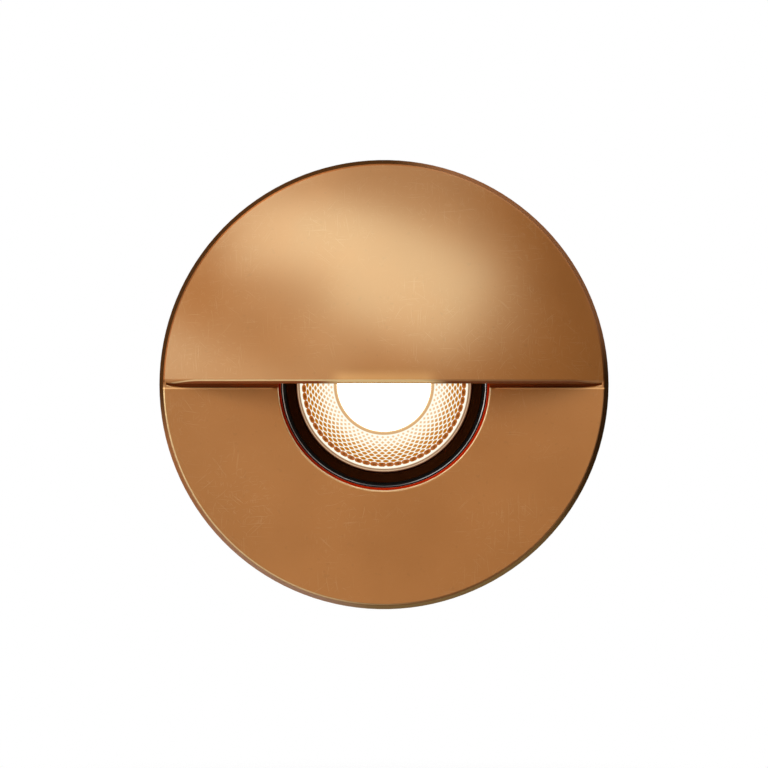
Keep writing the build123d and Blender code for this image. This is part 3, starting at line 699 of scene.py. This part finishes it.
def optic_plan(sizes):
    """Radii of the optic's rings and depths of its face, and the pitch of its rows of lenslets."""
    dish = 1.7 * MM
    edge_r, edge_y = radius_of("lamp_optic"), front_of("lamp_optic")
    bead_r = edge_r - sizes.rim_width
    field_r = bead_r - sizes.bead_width
    lip_r = radius_of("lamp_diffuser") + WELL_GAP + sizes.lip_round
    pitch = (field_r - lip_r) / sizes.dot_rows
    return OpticPlan(edge_r, edge_y, bead_r, field_r, lip_r, edge_y + dish, pitch)


def off_middle(tree, value):
    """Distance from the middle of a cell that is one wide."""
    return calc(tree, "ABSOLUTE", calc(tree, "SUBTRACT", calc(tree, "FRACT", value), 0.5))


def optic_lattice(tree, sizes, plan, column, reach, amber):
    """Colour of the field: a white lattice of light round amber dots that grow paler inwards."""
    light, pale = colour(1.0, 0.97, 0.84), colour(0.80, 0.39, 0.11)
    last_row = float(sizes.dot_rows)
    row = calc(tree, "DIVIDE", calc(tree, "SUBTRACT", plan.field_r, reach), plan.pitch)
    stagger = product(tree, calc(tree, "MODULO", calc(tree, "FLOOR", row), 2.0), 0.5)
    across = off_middle(tree, calc(tree, "ADD", column, stagger))
    along = off_middle(tree, row)
    outer = falling(tree, row, 0.0, last_row)
    half_width = calc(tree, "MULTIPLY_ADD", outer, 0.16, 0.30)
    half_height = calc(tree, "MULTIPLY_ADD", outer, 0.27, 0.46)
    diamond = calc(
        tree, "ADD", calc(tree, "DIVIDE", across, half_width), calc(tree, "DIVIDE", along, half_height))
    dot = falling(tree, diamond, 0.85, 1.2)
    # Thin stems join the outermost dots to the beads.
    stem = product(tree, calc(tree, "LESS_THAN", across, 0.035), calc(tree, "LESS_THAN", row, 0.6))
    strength = remap(tree, outer, 0.0, 0.6, out_low=0.72)
    in_field = product(
        tree, calc(tree, "GREATER_THAN", row, 0.0), calc(tree, "LESS_THAN", row, last_row))
    dotted = product(tree, highest(tree, dot, stem), strength, in_field)
    return blend(tree, dotted, light, blend(tree, outer, pale, amber))


def optic_beads(tree, sizes, plan, column, reach):
    """Mask and colour of the ring of dark beads outside the field."""
    rim, heart = colour(0.42, 0.11, 0.01), colour(0.19, 0.043, 0.004)
    half_width, half_height = 0.53, 0.58
    across = off_middle(tree, calc(tree, "ADD", column, 0.5))
    inward = calc(tree, "DIVIDE", calc(tree, "SUBTRACT", plan.bead_r, reach), sizes.bead_width)
    oval = length_of(
        tree, calc(tree, "DIVIDE", across, half_width),
        calc(tree, "DIVIDE", off_middle(tree, inward), half_height))
    mask = product(
        tree, falling(tree, oval, 0.88, 1.04),
        calc(tree, "LESS_THAN", reach, plan.bead_r), calc(tree, "GREATER_THAN", reach, plan.field_r))
    return mask, blend(tree, falling(tree, oval, 0.2, 0.7), rim, heart)


def optic_lip(tree, sizes, plan, column, reach):
    """Mask and colour of the lip of the bright well, with small notches on its outer side."""
    lip, notched, lit_well = colour(0.66, 0.39, 0.18), colour(0.36, 0.19, 0.06), colour(1.0, 0.93, 0.80)
    notches_per_dot = 3.0
    notch = product(
        tree, falling(tree, off_middle(tree, product(tree, column, notches_per_dot)), 0.12, 0.3),
        remap(tree, reach, plan.lip_r - 0.4 * MM, plan.lip_r - 0.15 * MM), 0.6)
    in_well = falling(
        tree, reach, plan.lip_r - 1.05 * sizes.lip_round, plan.lip_r - 0.99 * sizes.lip_round)
    mask = falling(tree, reach, plan.lip_r - 0.36 * MM, plan.lip_r - 0.24 * MM)
    return mask, blend(tree, in_well, blend(tree, notch, lip, notched), lit_well)


def optic_finish(colours, sizes):
    """Clear optic that gives off painted light: a field of lenslets with a ring of beads outside it and a
    round lip inside.
    """
    s = Surface(
        "lamp_optic", Base_Color=colour(0.03, 0.014, 0.004), Roughness=0.25, IOR=1.49,
        Specular_IOR_Level=0.1)
    tree = s.tree
    plan = optic_plan(sizes)
    right, _, height = s.axes()
    reach = length_of(tree, right, height)
    column = product(tree, calc(tree, "ARCTAN2", height, right), sizes.dots_round / TURN)
    tone = optic_lattice(tree, sizes, plan, column, reach, colour(*colours.amber))
    for part in (optic_beads, optic_lip):
        mask, layer = part(tree, sizes, plan, column, reach)
        tone = blend(tree, mask, tone, layer)
    # Painted light: the optic is no lamp, yet its lattice, dots, beads and lip give off their colours as
    # light.
    s.set(Emission_Color=tone, Emission_Strength=1.08)
    return s.material


def bezel_finish():
    """Pale translucent ring at the lamp's edge that gives off painted light, with a painted dark gap at
    the optic.
    """
    s = Surface("lamp_bezel", Roughness=0.4, Base_Color=colour(0.10, 0.07, 0.05), Specular_IOR_Level=0.1)
    tree = s.tree
    reach = s.reach()
    outer, inner = radius_of("lamp_bezel"), radius_of("lamp_optic")
    cloud = noise(tree, s.place, 60.0, 2.0)[0]
    pale = blend(tree, cloud, colour(0.52, 0.30, 0.16), colour(0.68, 0.47, 0.30))
    gap = product(tree, band(tree, reach, inner + 0.3 * MM, half=0.15 * MM, soft=0.08 * MM), 0.9)
    edge = remap(tree, reach, outer - 0.36 * MM, outer - 0.2 * MM)
    dark_gap, dark_edge = colour(0.20, 0.09, 0.04), colour(0.09, 0.016, 0.003)
    lit = blend(tree, gap, pale, dark_gap)
    # Painted light from inside, with painted shade in the gap at the optic and at the outer edge.
    s.set(Emission_Color=blend(tree, edge, lit, dark_edge), Emission_Strength=0.95)
    s.bump(cloud, depth=0.01 * MM, strength=0.3)
    return s.material


def slot_finishes(scene):
    """One material for each of the record's material slots."""
    colours = scene.light_finishes
    return {
        "bronze": bronze_finish(colours),
        "foam": moulded("foam", (0.035, 0.035, 0.037), 0.9, grain_depth=0.15 * MM, grain_scale=900.0),
        "red_silicone": moulded("red_silicone", (0.44, 0.020, 0.001), 0.6, level=0.0),
        "lens_glass": glass_finish(),
        "black_rubber": moulded(
            "black_rubber", (0.02, 0.02, 0.021), 0.6,
            grain_depth=0.015 * MM, grain_scale=1500.0, sheen=0.1),
        "black_anodised": lens_ring_finish(),
        "dark_bronze": baffle_finish(),
        "grey_anodised": cast_metal(
            "grey_anodised", (0.19, 0.19, 0.2), 0.38, metallic=0.6, marks=0.4 * MM),
        "stainless": cast_metal("stainless", (0.6, 0.59, 0.57), 0.28),
        "black_nylon": moulded("black_nylon", (0.028, 0.028, 0.03), 0.45),
        "ceramic": moulded("ceramic", (0.82, 0.79, 0.73), 0.6),
        "contact_brass": cast_metal("contact_brass", (0.72, 0.5, 0.2), 0.3),
        "zinc_steel": cast_metal("zinc_steel", (0.55, 0.56, 0.57), 0.35),
        "ivory_nylon": moulded("ivory_nylon", (0.78, 0.73, 0.6), 0.4),
        "lead_sleeve": moulded("lead_sleeve", (0.75, 0.72, 0.66), 0.55),
        "lamp_metal": cast_metal("lamp_metal", (0.62, 0.62, 0.62), 0.45, metallic=0.3),
        "lamp_plastic": moulded("lamp_plastic", (0.8, 0.8, 0.77), 0.45),
        "lamp_bezel": bezel_finish(),
        "lamp_optic": optic_finish(colours, scene.lamp_sizes),
        "lamp_glow": glow_finish(colours),
        "lamp_phosphor": moulded("lamp_phosphor", (0.9, 0.65, 0.12), 0.6),
    }


class STEPLIGHT_OT_finishes(bpy.types.Operator):
    """Give every node of the frame the finish of its material slot"""

    bl_idname = "steplight.finishes"
    bl_label = "Finishes"

    def execute(self, context):
        FINISHES.update(slot_finishes(context.scene))
        slots = {part["node"]: part["material_slot"] for part in frame["record"]["subparts"]}
        for name, node in frame["nodes"].items():
            for slot in node.material_slots:
                slot.material = FINISHES[slots[name]]
        return {"FINISHED"}


# ---------------------------------------------------------------- pieces


def face_depth(plan, radius):
    """Depth of the optic's plain face, which slopes in from its edge to the lip of its well."""
    slope = (plan.lip_y - plan.edge_y) / (plan.edge_r - plan.lip_r)
    return plan.edge_y + slope * (plan.edge_r - radius)


def optic_outline(sizes, plan):
    """Half section of the optic, with steps on its face that are fine enough for its pattern."""
    bead_steps, lip_steps = 8, 6
    throat_r, rim_t = 8.0 * MM, 1.5 * MM
    radii = [plan.edge_r]
    radii += [plan.bead_r - i * sizes.bead_width / bead_steps for i in range(bead_steps)]
    radii += [plan.field_r - i * plan.pitch / CELL_STEPS for i in range(sizes.dot_rows * CELL_STEPS + 1)]
    outline = [(radius, face_depth(plan, radius)) for radius in radii]
    for i in range(1, lip_steps + 1):
        bend = i * pi / 2 / lip_steps
        inward, deeper = sizes.lip_round * sin(bend), sizes.lip_round * (1 - cos(bend))
        outline.append((plan.lip_r - inward, plan.lip_y + deeper))
    well_r = plan.lip_r - sizes.lip_round
    floor_y, back_y = back_of("lamp_diffuser"), back_of("lamp_optic")
    outline += [(well_r, floor_y), (0, floor_y), (0, back_y), (throat_r, back_y)]
    outline += [(plan.edge_r, plan.edge_y + rim_t)]
    return outline


def raise_lenslets(bm, sizes, plan):
    """Swell the cells of the optic's face: the ring of beads and the staggered rings of lenslets."""
    lowest_share = 0.4
    face_reach = 0.01 * MM
    for vert in bm.verts:
        radius = hypot(vert.co.x, vert.co.z)
        if not plan.lip_r + HAIR <= radius <= plan.bead_r + HAIR:
            continue
        if vert.co.y > face_depth(plan, radius) + face_reach:
            continue
        column = atan2(vert.co.z, vert.co.x) / TURN * sizes.dots_round
        if radius > plan.field_r + HAIR:
            row, shift = (plan.bead_r - radius) / sizes.bead_width, 0.5
        else:
            row = (plan.field_r - radius) / plan.pitch
            shift = 0.5 * (int(row + 0.001) % 2)
        swell = lowest_share + (1 - lowest_share) * abs(sin(pi * (column + shift)))
        vert.co.y -= sizes.dot_height * abs(sin(pi * row)) * swell


class STEPLIGHT_OT_optic(bpy.types.Operator):
    """Model the lamp's optic with its rings of lenslets round the bright middle"""

    bl_idname = "steplight.optic"
    bl_label = "Lamp Optic"

    def execute(self, context):
        sizes = context.scene.lamp_sizes
        plan = optic_plan(sizes)
        bm = turned(optic_outline(sizes, plan), sizes.dots_round * CELL_STEPS)
        raise_lenslets(bm, sizes, plan)
        optic = piece("optic", bm, "lamp", "lamp_optic")
        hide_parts("lamp_optic")
        return {"FINISHED"}


class STEPLIGHT_OT_bezel(bpy.types.Operator):
    """Model the lamp's pale bezel, with the gap that its sloping inner edge leaves at the optic"""

    bl_idname = "steplight.bezel"
    bl_label = "Lamp Bezel"

    def execute(self, context):
        node = "lamp_bezel"
        clearance = 0.05 * MM
        width = context.scene.lamp_sizes.gap_width
        outer, inner = radius_of(node), radius_of("lamp_optic") + clearance
        front, back = front_of(node), back_of(node)
        bm = turned([
            (outer, back), (outer, front), (inner + width, front), (inner, front + 2 * width),
            (inner, back)])
        soften(bm, outer, front, width=0.28 * MM, segments=4)
        soften(bm, inner + width, front, width=0.06 * MM, segments=2)
        bezel = piece("bezel", bm, "lamp", "lamp_bezel")
        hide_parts(node)
        return {"FINISHED"}


class STEPLIGHT_OT_gasket(bpy.types.Operator):
    """Model the red silicone gasket whose rounded bead shows inside the opening"""

    bl_idname = "steplight.gasket"
    bl_label = "Lens Gasket"

    def execute(self, context):
        node = "lens_gasket"
        bead_steps = 8
        outer, front, back = radius_of(node), front_of(node), back_of(node)
        inner = OPENING_R - 0.62 * MM
        bead_r, middle_y = (back - front) / 2, (front + back) / 2
        outline = [(outer, back), (outer, front)]
        for i in range(bead_steps + 1):
            bend = i * pi / bead_steps
            outline.append((inner + bead_r * (1 - sin(bend)), middle_y - bead_r * cos(bend)))
        gasket = piece("red_gasket", turned(outline), "face", "red_silicone", sharp_angle=1.2)
        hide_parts(node)
        return {"FINISHED"}


# ---------------------------------------------------------------- stage

SoftLamp = namedtuple("SoftLamp", "name turn rise half_width half_height roll level shows")
DarkCard = namedtuple("DarkCard", "name turn rise half_width half_height roll")

# Turn is to the right of the camera, rise is above the centre line and roll is about the line to
# the step light, in degrees. Half sizes are for a distance of one. A lamp either shows in shine or
# lights the colour of a surface.
SOFT_LAMPS = (
    SoftLamp("front_left", -30, 10, 0.45, 0.45, 0, 3.6, "colour"),
    SoftLamp("key", 10, 33, 0.41, 0.33, 29, 4.5, "shine"),
    SoftLamp("upper_left", -40, 47, 0.20, 0.34, 81, 5.1, "shine"),
    SoftLamp("low_left", -60, 4, 0.50, 0.13, 18, 2.7, "shine"),
    SoftLamp("left_strip", -49, 20, 0.05, 0.48, 54, 0.9, "shine"),
    SoftLamp("back_fill", 150, 35, 0.45, 0.45, 0, 2.0, "colour"),
)
DARK_CARDS = (
    DarkCard("card_behind_camera", 22, -1, 0.62, 0.25, 10),
    DarkCard("card_right", 90, 12, 0.87, 1.22, 16),
    DarkCard("card_left", -52, 19, 0.44, 0.34, 58),
    DarkCard("card_behind_light", 180, 0, 1.50, 1.50, 0),
)


def aimed(turn, rise, roll, distance):
    """Matrix of a thing at a distance round the step light whose back, local +Z, faces away from it."""
    turn, rise, roll = radians(turn), radians(rise), radians(roll)
    away = Vector((sin(turn) * cos(rise), -cos(turn) * cos(rise), sin(rise)))
    side = away.cross(Vector((0, 0, 1))).normalized()
    up = side.cross(away)
    across = side * cos(roll) + up * sin(roll)
    axes = Matrix((across, away.cross(across), away)).transposed()
    return Matrix.Translation(away * distance) @ axes.to_4x4()


def soft_lamp(lamp, distance, level):
    """A rectangular lamp of an even brightness."""
    light = bpy.data.lights.new(lamp.name, "AREA")
    light.shape = "RECTANGLE"
    light.size = 2 * lamp.half_width * distance
    light.size_y = 2 * lamp.half_height * distance
    light.energy = lamp.level * level * pi * light.size * light.size_y
    obj = bpy.data.objects.new(lamp.name, light)
    obj.matrix_world = aimed(lamp.turn, lamp.rise, lamp.roll, distance)
    obj.visible_glossy = lamp.shows == "shine"
    obj.visible_diffuse = lamp.shows == "colour"
    bpy.context.scene.collection.objects.link(obj)


def dark_card(card, distance, black):
    """A dark card that shows in shine alone."""
    bm = bmesh.new()
    size = Matrix.Diagonal((2 * card.half_width * distance, 2 * card.half_height * distance, 1, 1))
    place = aimed(card.turn, card.rise, card.roll, distance)
    bmesh.ops.create_grid(bm, x_segments=1, y_segments=1, size=0.5, matrix=place @ size)
    mesh = bpy.data.meshes.new(card.name)
    bm.to_mesh(mesh)
    bm.free()
    mesh.materials.append(black)
    obj = bpy.data.objects.new(card.name, mesh)
    obj.visible_camera = False
    obj.visible_diffuse = False
    obj.visible_transmission = False
    obj.visible_shadow = False
    bpy.context.scene.collection.objects.link(obj)


def stage_camera(scene, stage):
    """A level camera in front of the step light that sees the frame's width at the wall's plane."""
    data = bpy.data.cameras.new("camera")
    data.lens = data.sensor_width * stage.camera_distance / stage.frame_width
    camera = bpy.data.objects.new("camera", data)
    camera.location = (0, -stage.camera_distance, stage.camera_rise)
    camera.rotation_euler = (pi / 2, 0, 0)
    scene.collection.objects.link(camera)
    scene.camera = camera


def stage_floor(scene, stage):
    """A pale round floor that takes the shadow and fades out before its edge."""
    radius = 0.62
    fade_start, fade_end = 0.3 * radius, 0.75 * radius
    bm = bmesh.new()
    bmesh.ops.create_circle(bm, cap_ends=True, segments=96, radius=radius)
    bmesh.ops.translate(bm, vec=(0, 0, -stage.floor_drop), verts=bm.verts)
    mesh = bpy.data.meshes.new("floor")
    bm.to_mesh(mesh)
    bm.free()
    s = Surface("floor", Base_Color=colour(0.86, 0.86, 0.86), Roughness=0.8, Specular_IOR_Level=0.1)
    right, depth, _ = s.axes()
    s.set(Alpha=falling(s.tree, length_of(s.tree, right, depth), fade_start, fade_end))
    mesh.materials.append(s.material)
    floor = bpy.data.objects.new("floor", mesh)
    floor.visible_diffuse = False
    scene.collection.objects.link(floor)


def stage_world(scene, stage):
    """White all round to the camera, in shine and through glass, and a soft light to the rest."""
    world = bpy.data.worlds.new("studio")
    scene.world = world
    world.use_nodes = True
    tree = world.node_tree
    path = add(tree, "ShaderNodeLightPath").outputs
    seen = highest(tree, path["Is Camera Ray"], path["Is Glossy Ray"], path["Is Transmission Ray"])
    background = tree.nodes["Background"]
    background.inputs["Color"].default_value = colour(1, 1, 1)
    feed(tree, background.inputs["Strength"], remap(tree, seen, 0.0, 1.0, out_low=stage.world_level))


class STEPLIGHT_OT_stage(bpy.types.Operator):
    """Set the camera, the floor, the lamps and the pale background"""

    bl_idname = "steplight.stage"
    bl_label = "Stage"

    def execute(self, context):
        scene, stage = context.scene, context.scene.stage_settings
        scene.view_settings.view_transform = "Standard"
        stage_camera(scene, stage)
        stage_floor(scene, stage)
        stage_world(scene, stage)
        for lamp in SOFT_LAMPS:
            soft_lamp(lamp, stage.lamp_distance, stage.lamp_level)
        black = Surface("dark_card", Base_Color=colour(0.03, 0.03, 0.03), Roughness=0.9).material
        for card in DARK_CARDS:
            dark_card(card, stage.card_distance, black)
        return {"FINISHED"}


# ---------------------------------------------------------------- panel and registration

OPERATORS = (
    STEPLIGHT_OT_stage,
    STEPLIGHT_OT_finishes,
    STEPLIGHT_OT_optic,
    STEPLIGHT_OT_bezel,
    STEPLIGHT_OT_gasket,
)


class STEPLIGHT_PT_panel(bpy.types.Panel):
    """Buttons and sizes of the step light"""

    bl_label = "Step Light"
    bl_idname = "STEPLIGHT_PT_panel"
    bl_space_type = "VIEW_3D"
    bl_region_type = "UI"
    bl_category = "Step Light"

    def draw(self, context):
        scene = context.scene
        for group in (scene.lamp_sizes, scene.light_finishes, scene.stage_settings):
            box = self.layout.box()
            for name in group.__annotations__:
                box.prop(group, name)
        for operator in OPERATORS:
            self.layout.operator(operator.bl_idname)


CLASSES = (LampSizes, Finishes, StageSettings, *OPERATORS, STEPLIGHT_PT_panel)


def register():
    """Register the classes and give each scene their settings."""
    for cls in CLASSES:
        bpy.utils.register_class(cls)
    bpy.types.Scene.lamp_sizes = PointerProperty(type=LampSizes)
    bpy.types.Scene.light_finishes = PointerProperty(type=Finishes)
    bpy.types.Scene.stage_settings = PointerProperty(type=StageSettings)


def unregister():
    """Take the settings and the classes out again."""
    del bpy.types.Scene.stage_settings
    del bpy.types.Scene.light_finishes
    del bpy.types.Scene.lamp_sizes
    for cls in reversed(CLASSES):
        bpy.utils.unregister_class(cls)


def main():
    """Call the operators in order."""
    register()
    for operator in OPERATORS:
        module, name = operator.bl_idname.split(".")
        getattr(getattr(bpy.ops, module), name)()


if __name__ == "__main__":
    main()
